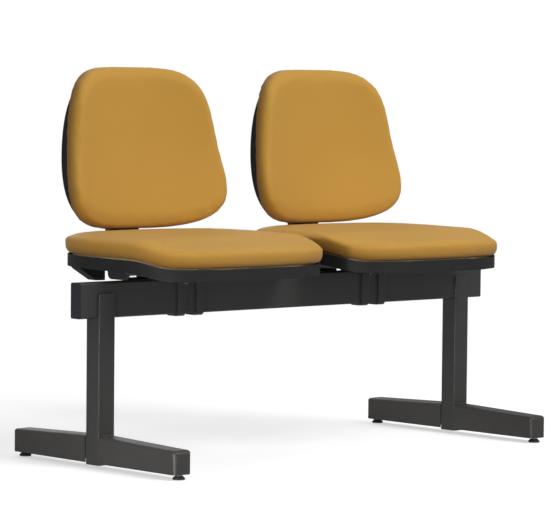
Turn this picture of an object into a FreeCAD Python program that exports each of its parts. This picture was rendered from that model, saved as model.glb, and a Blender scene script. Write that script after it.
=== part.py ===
# Two-seat beam seating: two upholstered seats on one steel beam that stands on two T-shaped legs.
# Millimetres. X runs along the beam, the sitters face -Y, Z is up. The origin is on the floor
# under the middle of the beam.
import FreeCAD, Part
import math
import os
import re
import Sketcher

V = FreeCAD.Vector
X_AXIS = V(1, 0, 0)
Z_AXIS = V(0, 0, 1)

SIZES = {
    # beam
    "beam_length": 1112, "beam_height": 70, "beam_depth": 30, "beam_wall": 2, "beam_corner": 4,
    "beam_base": 293, "cap_flange": 2, "cap_plug": 18, "cap_clearance": 0.2,
    # legs
    "leg_spacing": 990, "column_width": 40, "column_wall": 5, "column_corner": 2.5,
    "column_base": 6, "tab_height": 48, "tab_corner": 3,
    "foot_reach": 250, "foot_width": 43, "foot_base": 10, "foot_root_height": 53.4,
    "foot_tip_height": 46, "foot_wall": 2, "foot_edge": 7, "foot_nose": 9,
    # levelling glides
    "glide_from_toe": 14, "glide_radius": 12, "glide_height": 7, "glide_seat": 3.1, "glide_neck": 8,
    "glide_chamfer": 1, "stud_radius": 4, "stud_length": 37, "hex_flats": 13, "collar_height": 5,
    "bridge_sheet": 3, "bridge_length": 34, "glide_nut_height": 6.5, "thread_clearance": 0.05,
    # seat mount and clamps
    "seat_space": 44, "mount_front_margin": 18, "mount_rear": 136, "mount_web": 128, "mount_flange": 26,
    "mount_rise": 15, "mount_run": 16, "mount_sheet": 3, "mount_corner": 8,
    "strap_width": 18, "strap_sheet": 4.5, "strap_spacing": 48, "strap_shift": -25,
    "strap_foot": 33, "strap_bend": 8, "bolt_offset": 20, "bolt_radius": 4, "bolt_clearance": 0.3,
    "bolt_head": 5.3, "clamp_nut_height": 6.8, "bolt_spare": 1.2,
    # seat plan and side line
    "seat_width": 464, "seat_depth": 405, "seat_shift": 1.5, "seat_squareness": 3.41,
    "shell_gap": 3, "seam_slope": 0.017, "waterfall_start": 129, "waterfall_end": 36,
    "waterfall_drop": 12.8, "seat_crown": 47, "seat_bulge": 5, "crown_squareness": 3.6,
    "crown_softness": 2.4, "shoulder_share": 0.9, "shoulder_rise": 0.66, "bulge_rise": 0.3,
    "cushion_foot": 1,
    "board_thickness": 12, "board_inset": 9, "board_clearance": 0.3,
    "shell_height": 24, "shell_wall": 2.5, "lobe_inner": 108, "lobe_from_side": 51,
    "lobe_depth": 26, "lobe_from_rear": 28, "lobe_drop": 12, "lobe_slant": 55.5,
    "screw_y": 62, "screw_radius": 3, "screw_head_radius": 5.5,
    "screw_head": 3.5, "boss_radius": 9, "tee_radius": 9, "tee_flange": 1.5, "tee_barrel": 4,
    "tee_depth": 7.5, "tee_clearance": 0.2, "screw_gap": 1, "socket_flats": 4, "socket_share": 0.5,
    "dome_share": 0.6,
    # back
    "back_width": 378, "back_height": 326, "back_squareness": 3.44, "back_taper": 0.126,
    "back_behind": 19, "back_rise": 207.5, "back_tilt": 5.7, "back_bend_radius": 344,
    "back_dish_radius": 983, "back_pad": 40, "back_pad_edge": 16, "back_pad_side": 0.72,
    "pad_squareness": 4, "pad_softness": 2.6, "nose_inset": 4, "nose_growth": 3,
    "back_board_thickness": 10, "back_shell_lowered": 0.16, "back_shell_span": 0.92,
    "back_board_inset": 10, "back_shell_side": 20, "back_shell_depth": 18, "back_shell_rim": 3,
    "back_shell_flat": 78, "back_boss_radius": 6, "back_screw_x": 20, "back_screw_low": -25,
    "back_screw_high": 35,
    # spine that joins back and seat
    "spine_width": 70, "spine_sheet": 6, "spine_toe_margin": 15, "spine_top": 52, "spine_bend": 30,
    "spine_corner": 14, "spine_gap": 0.3, "cover_side": 3.7, "cover_wall": 2, "cover_front": 5.5,
    "cover_foot_reach": 63, "cover_drop": 14, "cover_lift": 2, "cover_top": -108,
    "cover_heel": 12, "cover_bend": 8, "cover_edge": 2, "cover_clearance": 0.3,
    "cap_side": 11, "cap_above": 14, "cap_overlap": 6,
    "cap_corner": 14, "cap_slant": 0.65, "cap_wall": 2, "cap_gap": 0.5, "cap_edge": 3,
}

doc = FreeCAD.newDocument("beam_seating")
sheet = doc.addObject("Spreadsheet::Sheet", "sizes")
for row, (alias, value) in enumerate(SIZES.items(), start=1):
    sheet.set("A%d" % row, alias)
    sheet.set("B%d" % row, str(value))
    sheet.setAlias("B%d" % row, alias)
doc.recompute()

nodes = []


def size(name):
    return float(sheet.get(name))


def bound(expression):
    """Write the sheet's name before each alias in an expression."""
    return re.sub(r"[a-z_]+", lambda m: "sizes." + m.group() if m.group() in SIZES else m.group(), expression)


def number(expression):
    return float(sheet.evalExpression(bound(expression)))


def place(node, x="0", y="0", z="0", turn=None):
    """Put a node at bound coordinates. turn is (axis, degrees)."""
    if turn:
        node.Placement = FreeCAD.Placement(V(0, 0, 0), FreeCAD.Rotation(*turn))
    for letter, expression in zip("xyz", (x, y, z)):
        node.setExpression("Placement.Base." + letter, bound(expression))


# Sketches and features of the metal and moulded pieces

def new_body(label):
    body = doc.addObject("PartDesign::Body", label)
    body.Label = label
    nodes.append(body)
    return body


def new_sketch(body, plane, offset="0"):
    sketch = body.newObject("Sketcher::SketchObject", "sketch")
    origin_plane = [f for f in body.Origin.OriginFeatures if f.Role == plane][0]
    sketch.AttachmentSupport = (origin_plane, [""])
    sketch.MapMode = "FlatFace"
    sketch.setExpression("AttachmentOffset.Base.z", bound(offset))
    return sketch


def pin_point(sketch, geometry, end, x, y):
    """Hold one point of a sketch at bound coordinates."""
    for kind, expression in (("DistanceX", x), ("DistanceY", y)):
        index = sketch.addConstraint(
            Sketcher.Constraint(kind, -1, 1, geometry, end, number(expression)))
        sketch.setExpression("Constraints[%d]" % index, bound(expression))


def add_polygon(sketch, corners):
    """Add a closed outline whose corners are pairs of expressions."""
    points = [V(number(x), number(y), 0) for x, y in corners]
    first = sketch.GeometryCount
    for i, point in enumerate(points):
        sketch.addGeometry(Part.LineSegment(point, points[(i + 1) % len(points)]), False)
    for i, (x, y) in enumerate(corners):
        following = first + (i + 1) % len(points)
        sketch.addConstraint(Sketcher.Constraint("Coincident", first + i, 2, following, 1))
        pin_point(sketch, first + i, 1, x, y)


def add_rectangle(sketch, left, right, low, high):
    add_polygon(sketch, [(left, low), (right, low), (right, high), (left, high)])


def add_circle(sketch, x, y, radius):
    index = sketch.addGeometry(
        Part.Circle(V(number(x), number(y), 0), Z_AXIS, number(radius)), False)
    pin_point(sketch, index, 3, x, y)
    constraint = sketch.addConstraint(Sketcher.Constraint("Radius", index, number(radius)))
    sketch.setExpression("Constraints[%d]" % constraint, bound(radius))


def add_hexagon(sketch, flats):
    """Add a hexagon about the origin with the given distance across flats."""
    reach = flats + " / sqrt(3)"
    add_polygon(sketch, [("(%s) * cos(%d)" % (reach, a), "(%s) * sin(%d)" % (reach, a))
                         for a in range(0, 360, 60)])


def pad(body, sketch, length, both_ways=False, reverse=False):
    feature = body.newObject("PartDesign::Pad", "pad")
    feature.Profile = sketch
    feature.Midplane = both_ways
    feature.Reversed = reverse
    feature.setExpression("Length", bound(length))
    doc.recompute()
    return feature


def pocket(body, sketch, length=None, both_ways=True, reverse=False):
    """Cut a sketch through the body, or to a depth. It must take something away."""
    before = body.Shape.Volume
    feature = body.newObject("PartDesign::Pocket", "pocket")
    feature.Profile = sketch
    feature.Midplane = both_ways
    feature.Reversed = reverse
    if length is None:
        feature.Type = "ThroughAll"
    else:
        feature.setExpression("Length", bound(length))
    doc.recompute()
    assert body.Shape.Volume < before - 1e-6, body.Label + ": a pocket cut nothing"
    return feature


def fillet(body, radius, chosen):
    """Round the edges of the body's tip that the chosen test picks."""
    tip = body.Tip
    names = ["Edge%d" % (i + 1) for i, edge in enumerate(tip.Shape.Edges) if chosen(edge)]
    assert names, body.Label + ": no edge to round"
    feature = body.newObject("PartDesign::Fillet", "fillet")
    feature.Base = (tip, names)
    feature.setExpression("Radius", bound(radius))
    doc.recompute()
    return feature


def runs_along(edge, axis):
    """True for a straight edge parallel to an axis."""
    if not isinstance(edge.Curve, Part.Line):
        return False
    return abs(abs(edge.tangentAt(edge.FirstParameter).dot(axis)) - 1) < 1e-6


def middle(edge):
    return (edge.valueAt(edge.FirstParameter) + edge.valueAt(edge.LastParameter)) * 0.5


def near(edge, y, z, reach=0.5):
    centre = middle(edge)
    return abs(centre.y - number(y)) < reach and abs(centre.z - number(z)) < reach


def new_solid(label, shape):
    """Keep a shape that is made from formulas as a node of its own."""
    node = doc.addObject("Part::Feature", label)
    node.Label = label
    node.Shape = shape
    nodes.append(node)
    return node


# Heights and lines that several pieces share

BEAM_TOP = "(beam_base + beam_height)"
MOUNT_TOP = "(beam_base + beam_height + mount_sheet)"
FLANGE_BASE = "(beam_base + beam_height + mount_rise)"
FLANGE_TOP = "(beam_base + beam_height + mount_rise + mount_sheet)"
GLIDE_REACH = "(foot_reach - glide_from_toe)"
BOLT_REACH = "(beam_depth / 2 + bolt_offset)"
STRAP_REACH = "(beam_depth / 2 + strap_foot)"
SCREW_X = "(mount_web / 2 + mount_run + mount_flange / 2)"
SEAT_PITCH = "(seat_width + seat_space)"
SEAT_FRONT = "(seat_shift - seat_depth / 2)"
SEAT_REAR = "(seat_shift + seat_depth / 2)"
SEAM = "(beam_base + beam_height + mount_rise + mount_sheet + shell_gap + shell_height)"
BACK_Y = "(seat_shift + seat_depth / 2 + back_behind)"
BACK_Z = "(%s + back_rise)" % SEAM
BRIDGE_BASE = "(glide_height + collar_height)"
BRIDGE_TOP = "(glide_height + collar_height + bridge_sheet)"
SPINE_FRONT = "(back_shell_depth + spine_gap)"
SPINE_REAR = "(back_shell_depth + spine_gap + spine_sheet)"
SPINE_TOE = "(-beam_depth / 2 - bolt_offset - spine_toe_margin)"
COVER_FOOT_Y = "(%s - cover_foot_reach)" % BACK_Y
COVER_BASE = "(beam_base + beam_height - cover_drop)"
COVER_FOOT_TOP = "(%s - shell_height + cover_lift)" % SEAM
CAP_DEPTH = "(spine_sheet + cover_front + cap_wall)"
CAP_WIDTH = "(spine_width + 2 * cap_side)"
CAP_TOP = "(spine_top + cap_above)"
CAP_BASE = "(cover_top - cap_overlap)"


def on_spine(depth, height):
    """Y of a line that runs along the leaning spine, at a height above the floor."""
    return "(%s + (%s) / cos(back_tilt) + ((%s) - %s) * tan(back_tilt))" % (BACK_Y, depth, height, BACK_Z)


def on_back(depth, rise):
    """Y and Z of a point given in the leaning frame of the back."""
    return ("(%s + (%s) * cos(back_tilt) + (%s) * sin(back_tilt))" % (BACK_Y, depth, rise),
            "(%s - (%s) * sin(back_tilt) + (%s) * cos(back_tilt))" % (BACK_Z, depth, rise))


# Beam

def make_beam():
    body = new_body("beam_tube")
    sketch = new_sketch(body, "YZ_Plane")
    add_rectangle(sketch, "-beam_depth / 2", "beam_depth / 2", "beam_base", BEAM_TOP)
    pad(body, sketch, "beam_length", both_ways=True)
    fillet(body, "beam_corner", lambda e: runs_along(e, X_AXIS))
    sketch = new_sketch(body, "YZ_Plane")
    add_rectangle(sketch, "-beam_depth / 2 + beam_wall", "beam_depth / 2 - beam_wall",
                  "beam_base + beam_wall", BEAM_TOP + " - beam_wall")
    pocket(body, sketch)
    inner = size("beam_depth") / 2 - size("beam_wall")
    fillet(body, "beam_corner - beam_wall",
           lambda e: runs_along(e, X_AXIS) and abs(abs(middle(e).y) - inner) < 1e-3)


def make_beam_cap(side, sign):
    """Plastic cap: a flange on the tube's end and a hollow plug inside it."""
    body = new_body("beam_end_cap_" + side)
    sketch = new_sketch(body, "YZ_Plane")
    add_rectangle(sketch, "-beam_depth / 2", "beam_depth / 2", "beam_base", BEAM_TOP)
    pad(body, sketch, "cap_flange")
    fillet(body, "beam_corner", lambda e: runs_along(e, X_AXIS))
    sketch = new_sketch(body, "YZ_Plane")
    gap = "(beam_wall + cap_clearance)"
    add_rectangle(sketch, "-beam_depth / 2 + " + gap, "beam_depth / 2 - " + gap,
                  "beam_base + " + gap, BEAM_TOP + " - " + gap)
    wall = "(beam_wall + cap_clearance + cap_flange)"
    add_rectangle(sketch, "-beam_depth / 2 + " + wall, "beam_depth / 2 - " + wall,
                  "beam_base + " + wall, BEAM_TOP + " - " + wall)
    pad(body, sketch, "cap_plug", reverse=True)
    plug_side = number("beam_depth / 2 - " + gap)
    fillet(body, "beam_corner - beam_wall",
           lambda e: runs_along(e, X_AXIS) and abs(abs(middle(e).y) - plug_side) < 1e-3)
    turn = None if sign > 0 else (Z_AXIS, 180)
    place(body, x="%d * beam_length / 2" % sign, turn=turn)


# Legs

def make_column(side, sign):
    """Square tube whose side walls are cut down so that the beam sits between two tabs."""
    body = new_body("leg_column_" + side)
    depth = "(beam_depth + 2 * column_wall)"
    sketch = new_sketch(body, "XY_Plane", "column_base")
    add_rectangle(sketch, "-column_width / 2", "column_width / 2",
                  "-%s / 2" % depth, "%s / 2" % depth)
    pad(body, sketch, "beam_base + tab_height - column_base")
    fillet(body, "column_corner", lambda e: runs_along(e, Z_AXIS))
    sketch = new_sketch(body, "XY_Plane", "column_base")
    add_rectangle(sketch, "-column_width / 2 + column_wall", "column_width / 2 - column_wall",
                  "-beam_depth / 2", "beam_depth / 2")
    pocket(body, sketch, both_ways=False, reverse=True)
    sketch = new_sketch(body, "YZ_Plane")
    add_rectangle(sketch, "-beam_depth / 2", "beam_depth / 2",
                  "beam_base", "beam_base + beam_height")
    pocket(body, sketch)
    # slanted corners at the top of both tabs
    sketch = new_sketch(body, "XZ_Plane")
    top = "(beam_base + tab_height)"
    for sx in ("-", ""):
        edge = sx + "column_width / 2"
        inward = "(column_width / 2 - tab_corner)"
        add_polygon(sketch, [(sx + inward, top), (edge, top + " - tab_corner"), (edge, top)])
    pocket(body, sketch)
    place(body, x="%d * leg_spacing / 2" % sign)


def make_foot(end, end_sign, side, side_sign):
    """Pressed steel channel, open below, deeper at the column than at its toe."""
    body = new_body("foot_%s_%s" % (end, side))
    start = "(beam_depth / 2 + column_wall)"
    sketch = new_sketch(body, "YZ_Plane")
    add_polygon(sketch, [("-" + start, "foot_base"), ("-" + start, "foot_base + foot_root_height"),
                         ("-foot_reach", "foot_base + foot_tip_height"), ("-foot_reach", "foot_base")])
    pad(body, sketch, "foot_width", both_ways=True)
    half = size("foot_width") / 2
    base = size("foot_base")
    reach = size("foot_reach")
    fillet(body, "foot_nose",
           lambda e: runs_along(e, X_AXIS) and middle(e).y < -reach + 1 and middle(e).z > base + 1)
    fillet(body, "foot_edge",
           lambda e: abs(abs(middle(e).x) - half) < 1e-3 and middle(e).z > base + 1
           and not (runs_along(e, Z_AXIS) and middle(e).y > -reach + 1))
    thickness = body.newObject("PartDesign::Thickness", "thickness")
    tip = body.Group[-2]
    open_faces = ["Face%d" % (i + 1) for i, face in enumerate(tip.Shape.Faces)
                  if abs(face.CenterOfMass.z - base) < 1e-3
                  or abs(face.CenterOfMass.y + number(start)) < 1e-3]
    thickness.Base = (tip, open_faces)
    thickness.Reversed = True
    thickness.setExpression("Value", bound("foot_wall"))
    doc.recompute()
    # plate across the channel that the glide's nut stands on
    sketch = new_sketch(body, "XY_Plane", BRIDGE_BASE)
    add_rectangle(sketch, "-foot_width / 2 + foot_wall / 2", "foot_width / 2 - foot_wall / 2",
                  "-foot_reach + foot_wall / 2", "-foot_reach + bridge_length")
    pad(body, sketch, "bridge_sheet")
    sketch = new_sketch(body, "XY_Plane")
    add_circle(sketch, "0", "-" + GLIDE_REACH, "stud_radius + bolt_clearance")
    pocket(body, sketch, "2 * %s + 2" % BRIDGE_TOP, both_ways=True)
    turn = None if end_sign < 0 else (Z_AXIS, 180)
    place(body, x="%d * leg_spacing / 2" % side_sign, turn=turn)


# Levelling glides

def make_glide(end, end_sign, side, side_sign):
    """Foot pad, threaded stud with a hexagon collar, and the nut it screws up into."""
    corner = "%s_%s" % (end, side)
    x = "%d * leg_spacing / 2" % side_sign
    y = "%d * %s" % (end_sign, GLIDE_REACH)

    body = new_body("glide_pad_" + corner)
    sketch = new_sketch(body, "XZ_Plane")
    add_polygon(sketch, [("0", "0"), ("glide_radius - glide_chamfer", "0"), ("glide_radius", "glide_chamfer"),
                         ("glide_radius", "glide_seat"), ("glide_neck", "glide_height"),
                         ("stud_radius", "glide_height"), ("stud_radius", "glide_seat"),
                         ("0", "glide_seat")])
    turned = body.newObject("PartDesign::Revolution", "turned")
    turned.Profile = sketch
    turned.ReferenceAxis = (sketch, ["V_Axis"])
    turned.Angle = 360
    doc.recompute()
    place(body, x, y)

    body = new_body("glide_stud_" + corner)
    sketch = new_sketch(body, "XY_Plane", "glide_seat")
    add_circle(sketch, "0", "0", "stud_radius")
    pad(body, sketch, "stud_length")
    top = number("glide_seat + stud_length")
    chamfer = body.newObject("PartDesign::Chamfer", "chamfer")
    tip = body.Group[-2]
    chamfer.Base = (tip, ["Edge%d" % (i + 1) for i, e in enumerate(tip.Shape.Edges)
                          if abs(e.CenterOfMass.z - top) < 1e-3])
    chamfer.setExpression("Size", bound("glide_chamfer"))
    doc.recompute()
    sketch = new_sketch(body, "XY_Plane", "glide_height")
    add_hexagon(sketch, "hex_flats")
    pad(body, sketch, "collar_height")
    place(body, x, y)

    body = new_body("glide_nut_" + corner)
    sketch = new_sketch(body, "XY_Plane", BRIDGE_TOP)
    add_hexagon(sketch, "hex_flats")
    add_circle(sketch, "0", "0", "stud_radius + thread_clearance")
    pad(body, sketch, "glide_nut_height")
    place(body, x, y)


# Seat mount and clamps. Everything from here on is modelled about a seat's middle.

def make_mount(side, centre):
    """Pressed hat-section plate: the web lies on the beam, the flanges carry the seat."""
    body = new_body("seat_mount_" + side)
    web = "mount_web / 2"
    knee = "(mount_web / 2 + mount_run)"
    edge = "(mount_web / 2 + mount_run + mount_flange)"
    right = [(web, BEAM_TOP), (knee, FLANGE_BASE), (edge, FLANGE_BASE), (edge, FLANGE_TOP),
             ("(%s - mount_sheet / 2)" % knee, FLANGE_TOP),
             ("(%s - mount_sheet / 2)" % web, MOUNT_TOP)]
    left = [("-" + x, z) for x, z in reversed(right)]
    sketch = new_sketch(body, "XZ_Plane", "-mount_rear")
    add_polygon(sketch, right + left)
    pad(body, sketch, "screw_y + mount_front_margin + mount_rear")
    sketch = new_sketch(body, "XY_Plane")
    for sx in ("-", ""):
        for sy in ("-", ""):
            add_circle(sketch, "strap_shift %s strap_spacing / 2" % (sx or "+"), sy + BOLT_REACH,
                       "bolt_radius + bolt_clearance")
            add_circle(sketch, sx + SCREW_X, sy + "screw_y", "screw_radius + bolt_clearance")
    pocket(body, sketch, both_ways=False, reverse=True)
    outermost = number(edge)
    fillet(body, "mount_corner",
           lambda e: runs_along(e, Z_AXIS) and abs(abs(middle(e).x) - outermost) < 1e-3)
    place(body, x=centre)


def make_strap(label, centre, shift):
    """Flat bar bent round the front, underside and rear of the beam, with a foot at each end."""
    body = new_body(label)
    inner = "beam_depth / 2"
    outer = "(beam_depth / 2 + strap_sheet)"
    base = "(beam_base - strap_sheet)"
    foot = "(beam_base + beam_height - strap_sheet)"
    sketch = new_sketch(body, "YZ_Plane")
    add_polygon(sketch, [
        ("-" + STRAP_REACH, BEAM_TOP), ("-" + STRAP_REACH, foot), ("-" + outer, foot), ("-" + outer, base),
        (outer, base), (outer, foot), (STRAP_REACH, foot), (STRAP_REACH, BEAM_TOP),
        (inner, BEAM_TOP), (inner, "beam_base"), ("-" + inner, "beam_base"), ("-" + inner, BEAM_TOP)])
    pad(body, sketch, "strap_width", both_ways=True)
    low = number(base)
    fillet(body, "strap_bend", lambda e: runs_along(e, X_AXIS) and abs(middle(e).z - low) < 1e-3)
    sketch = new_sketch(body, "XY_Plane")
    for sy in ("-", ""):
        add_circle(sketch, "0", sy + BOLT_REACH, "bolt_radius + bolt_clearance")
    pocket(body, sketch, both_ways=False, reverse=True)
    place(body, x="%s + (%s)" % (centre, shift))


def hexagon_prism(flats, height):
    reach = flats / math.sqrt(3)
    corners = [V(reach * math.cos(math.radians(a)), reach * math.sin(math.radians(a)), 0)
               for a in range(0, 361, 60)]
    return Part.Face(Part.makePolygon(corners)).extrude(V(0, 0, height))


def make_clamp_bolts(side, centre):
    """Four bolts that hold straps, mount and spine together, and their nuts."""
    foot = number(BEAM_TOP) - size("strap_sheet")
    nut_height = size("clamp_nut_height")
    nut = hexagon_prism(size("hex_flats"), nut_height)
    nut = nut.cut(Part.makeCylinder(size("bolt_radius"), nut_height))
    bolts = []
    nuts = []
    for sx in (-1, 1):
        x = size("strap_shift") + sx * size("strap_spacing") / 2
        # the spine lies under the nuts of the strap that is within its width
        nut_seat = number(MOUNT_TOP)
        if abs(x) < size("spine_width") / 2:
            nut_seat += size("spine_sheet")
        shank = Part.makeCylinder(size("bolt_radius"), nut_seat - foot + nut_height + size("bolt_spare"))
        head = hexagon_prism(size("hex_flats"), size("bolt_head"))
        head.translate(V(0, 0, -size("bolt_head")))
        bolt = shank.fuse(head).removeSplitter()
        for sy in (-1, 1):
            y = sy * number(BOLT_REACH)
            bolts.append(bolt.translated(V(x, y, foot)))
            nuts.append(nut.translated(V(x, y, nut_seat)))
    place(new_solid("clamp_bolts_" + side, Part.makeCompound(bolts)), x=centre)
    place(new_solid("clamp_nuts_" + side, Part.makeCompound(nuts)), x=centre)


# Lofts of the seat: slices across the seat, from its front edge to its rear edge

SEAT_STATIONS = [-0.985, -0.95, -0.9, -0.82, -0.72, -0.6, -0.46, -0.3, -0.1,
                 0.2, 0.5, 0.72, 0.86, 0.95, 0.985]


def seam_height(y):
    """Height of the line where upholstery meets the shell; it drops towards the front."""
    start = size("waterfall_start")
    gone = (start - (y - number(SEAT_FRONT))) / (start - size("waterfall_end"))
    gone = min(1, max(0, gone))
    return number(SEAM) + size("seam_slope") * y - size("waterfall_drop") * gone * gone * (3 - 2 * gone)


def seat_half_width(station, inset):
    """Half width of the rounded-square plan at a station from -1, the front, to 1."""
    squareness = size("seat_squareness")
    full = size("seat_width") / 2 - inset
    return full * (1 - abs(station) ** squareness) ** (1 / squareness)


def seat_y(station, inset):
    return size("seat_shift") + station * (size("seat_depth") / 2 - inset)


def seat_band(inset, low, high):
    """Solid between two heights over the seam line, inside the seat's plan."""
    wires = []
    for station in SEAT_STATIONS:
        y = seat_y(station, inset)
        half = seat_half_width(station, inset)
        bottom = seam_height(y) + low
        top = seam_height(y) + high
        corners = [V(-half, y, bottom), V(half, y, bottom), V(half, y, top), V(-half, y, top)]
        wires.append(Part.makePolygon(corners + corners[:1]))
    return Part.makeLoft(wires, True, False)


def screw_places():
    return [(sx * number(SCREW_X), sy * size("screw_y")) for sx in (-1, 1) for sy in (-1, 1)]


def post(x, y, radius, low, high):
    return Part.makeCylinder(radius, high - low, V(x, y, low))


def make_seat_board(side, centre):
    """Moulded plywood pan inside the upholstery."""
    half = size("board_thickness") / 2
    shape = seat_band(size("board_inset"), -half, half)
    for x, y in screw_places():
        seam = seam_height(y)
        gap = size("tee_clearance")
        shape = shape.cut(post(x, y, size("tee_barrel") + gap, seam - 2 * half, seam + 2 * half))
        recess = seam + half - size("tee_flange") - size("board_clearance") - gap
        shape = shape.cut(post(x, y, size("tee_radius") + gap, recess, seam + 2 * half))
    place(new_solid("seat_board_" + side, shape), x=centre)


def make_seat_shell(side, centre):
    """Moulded tray under the seat, with screw bosses and two lobes under its rear corners."""
    wall = size("shell_wall")
    height = size("shell_height")
    half_board = size("board_thickness") / 2
    outer = seat_band(0, -height, 0)
    inner = seat_band(wall, wall - height, 1)
    shape = outer.cut(inner)
    # lobes
    top = number(SEAM)
    base = number(BEAM_TOP) - size("lobe_drop")
    side_x = size("seat_width") / 2 - size("lobe_from_side")
    rear_y = number(SEAT_REAR) - size("lobe_from_rear")
    limit = seat_band(wall, base - top, wall / 2 - height)
    for sx in (-1, 1):
        outline = [(side_x, top - height), (side_x - size("lobe_slant"), base),
                   (size("lobe_inner"), base), (size("lobe_inner"), top), (side_x, top)]
        points = [V(sx * x, rear_y, z) for x, z in outline]
        lobe = Part.Face(Part.makePolygon(points + points[:1]))
        lobe = lobe.extrude(V(0, -size("lobe_depth"), 0))
        shape = shape.fuse(lobe.common(limit))
    # bosses, with a pad below that stands on the mount's flange
    flange = number(FLANGE_TOP)
    for x, y in screw_places():
        seam = seam_height(y)
        lowest_seam = min(seam_height(y - size("boss_radius")), seam)
        boss_top = lowest_seam - half_board - size("board_clearance")
        shape = shape.fuse(post(x, y, size("boss_radius"), flange, boss_top))
    for x, y in screw_places():
        shape = shape.cut(post(x, y, size("screw_radius") + size("bolt_clearance"), flange - 1, top + 20))
    place(new_solid("seat_shell_" + side, shape.removeSplitter()), x=centre)


def tee_nut():
    """Flange and barrel with a plain bore, barrel down, flange's underside at zero."""
    flange = Part.makeCylinder(size("tee_radius"), size("tee_flange"))
    barrel = Part.makeCylinder(size("tee_barrel"), size("tee_depth"), V(0, 0, -size("tee_depth")))
    depth = size("tee_depth")
    bore = Part.makeCylinder(size("screw_radius"), 3 * depth, V(0, 0, -2 * depth))
    return flange.fuse(barrel).cut(bore).removeSplitter()


def round_screw(length):
    """Screw with a domed head below zero and its shank upwards."""
    head = size("screw_head")
    radius = size("screw_head_radius")
    dome = Part.makeCylinder(radius, head, V(0, 0, -head))
    rim = [e for e in dome.Edges if abs(e.CenterOfMass.z + head) < 1e-6 and len(e.Vertexes) == 1]
    dome = dome.makeFillet(head * size("dome_share"), rim)
    socket = hexagon_prism(size("socket_flats"), head * size("socket_share"))
    socket.translate(V(0, 0, -head))
    return dome.cut(socket).fuse(Part.makeCylinder(size("screw_radius"), length)).removeSplitter()


def make_seat_screws(side, centre):
    half_board = size("board_thickness") / 2
    under_flange = number(FLANGE_BASE)
    screws = []
    tees = []
    for x, y in screw_places():
        tee_z = seam_height(y) + half_board - size("tee_flange") - size("board_clearance")
        tees.append(tee_nut().translated(V(x, y, tee_z)))
        screw = round_screw(tee_z - size("screw_gap") - under_flange)
        screw.translate(V(x, y, under_flange))
        screws.append(screw)
    place(new_solid("seat_screws_" + side, Part.makeCompound(screws)), x=centre)
    place(new_solid("seat_tee_nuts_" + side, Part.makeCompound(tees)), x=centre)


def make_seat_cushion(side, centre):
    """Crowned pad: flat under the board, sides drawn in, lower towards front and rear edges."""
    wires = []
    crown = size("seat_crown")
    for station in SEAT_STATIONS:
        y = seat_y(station, 0)
        half = seat_half_width(station, 0)
        base = seam_height(y) + size("board_clearance")
        rise = crown * (1 - abs(station) ** size("crown_squareness")) ** (1 / size("crown_softness"))
        shoulder = V(half * size("shoulder_share"), y, base + size("shoulder_rise") * rise)
        foot = V(half - size("cushion_foot"), y, base)
        side_point = V(half + size("seat_bulge"), y, base + size("bulge_rise") * rise)
        mirror = [V(-p.x, p.y, p.z) for p in (foot, side_point, shoulder)]
        wires.append(Part.Wire([
            Part.LineSegment(mirror[0], foot).toShape(),
            Part.Arc(foot, side_point, shoulder).toShape(),
            Part.Arc(shoulder, V(0, y, base + rise), mirror[2]).toShape(),
            Part.Arc(mirror[2], mirror[1], mirror[0]).toShape()]))
    shape = Part.makeLoft(wires, True, False)
    gap = size("board_clearance")
    half_board = size("board_thickness") / 2
    shape = shape.cut(seat_band(size("board_inset") - gap, -half_board - 2, half_board + gap))
    place(new_solid("seat_cushion_" + side, shape), x=centre)


# Spine and its covers

def make_spine(side, centre):
    """Flat bar bent to an L: one leg is bolted over the beam, the other carries the back."""
    body = new_body("back_spine_" + side)
    top = "spine_top"
    leg_top = MOUNT_TOP + " + spine_sheet"
    sketch = new_sketch(body, "YZ_Plane")
    add_polygon(sketch, [
        (SPINE_TOE, MOUNT_TOP), (on_spine(SPINE_REAR, MOUNT_TOP), MOUNT_TOP),
        on_back(SPINE_REAR, top), on_back(SPINE_FRONT, top),
        (on_spine(SPINE_FRONT, leg_top), leg_top), (SPINE_TOE, leg_top)])
    pad(body, sketch, "spine_width", both_ways=True)
    fillet(body, "spine_bend", lambda e: runs_along(e, X_AXIS) and near(
        e, on_spine(SPINE_REAR, MOUNT_TOP), MOUNT_TOP))
    fillet(body, "spine_bend - spine_sheet", lambda e: runs_along(e, X_AXIS) and near(
        e, on_spine(SPINE_FRONT, leg_top), leg_top))
    top_z = number(on_back(SPINE_REAR, top)[1])
    toe = number(SPINE_TOE)
    fillet(body, "spine_corner", lambda e: abs(e.Length - size("spine_sheet")) < 1e-3 and (
        middle(e).z > top_z - 5 or middle(e).y < toe + 1))
    sketch = new_sketch(body, "XY_Plane")
    for sy in ("-", ""):
        add_circle(sketch, "strap_shift + strap_spacing / 2", sy + BOLT_REACH,
                   "bolt_radius + bolt_clearance")
    pocket(body, sketch, "2 * (%s)" % leg_top, both_ways=True)
    # holes for the back's screws, drilled square to the leaning leg
    sketch = body.newObject("Sketcher::SketchObject", "sketch")
    sketch.AttachmentSupport = ([f for f in body.Origin.OriginFeatures if f.Role == "XZ_Plane"][0], [""])
    sketch.MapMode = "FlatFace"
    sketch.AttachmentOffset = FreeCAD.Placement(V(0, 0, 0), FreeCAD.Rotation(X_AXIS, -size("back_tilt")))
    sketch.setExpression("AttachmentOffset.Base.y", bound(BACK_Z))
    sketch.setExpression("AttachmentOffset.Base.z", bound("-" + BACK_Y))
    for sx in ("-", ""):
        for rise in ("back_screw_low", "back_screw_high"):
            add_circle(sketch, sx + "back_screw_x", rise, "screw_radius + bolt_clearance")
    pocket(body, sketch, both_ways=True)
    place(body, x=centre)


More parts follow.
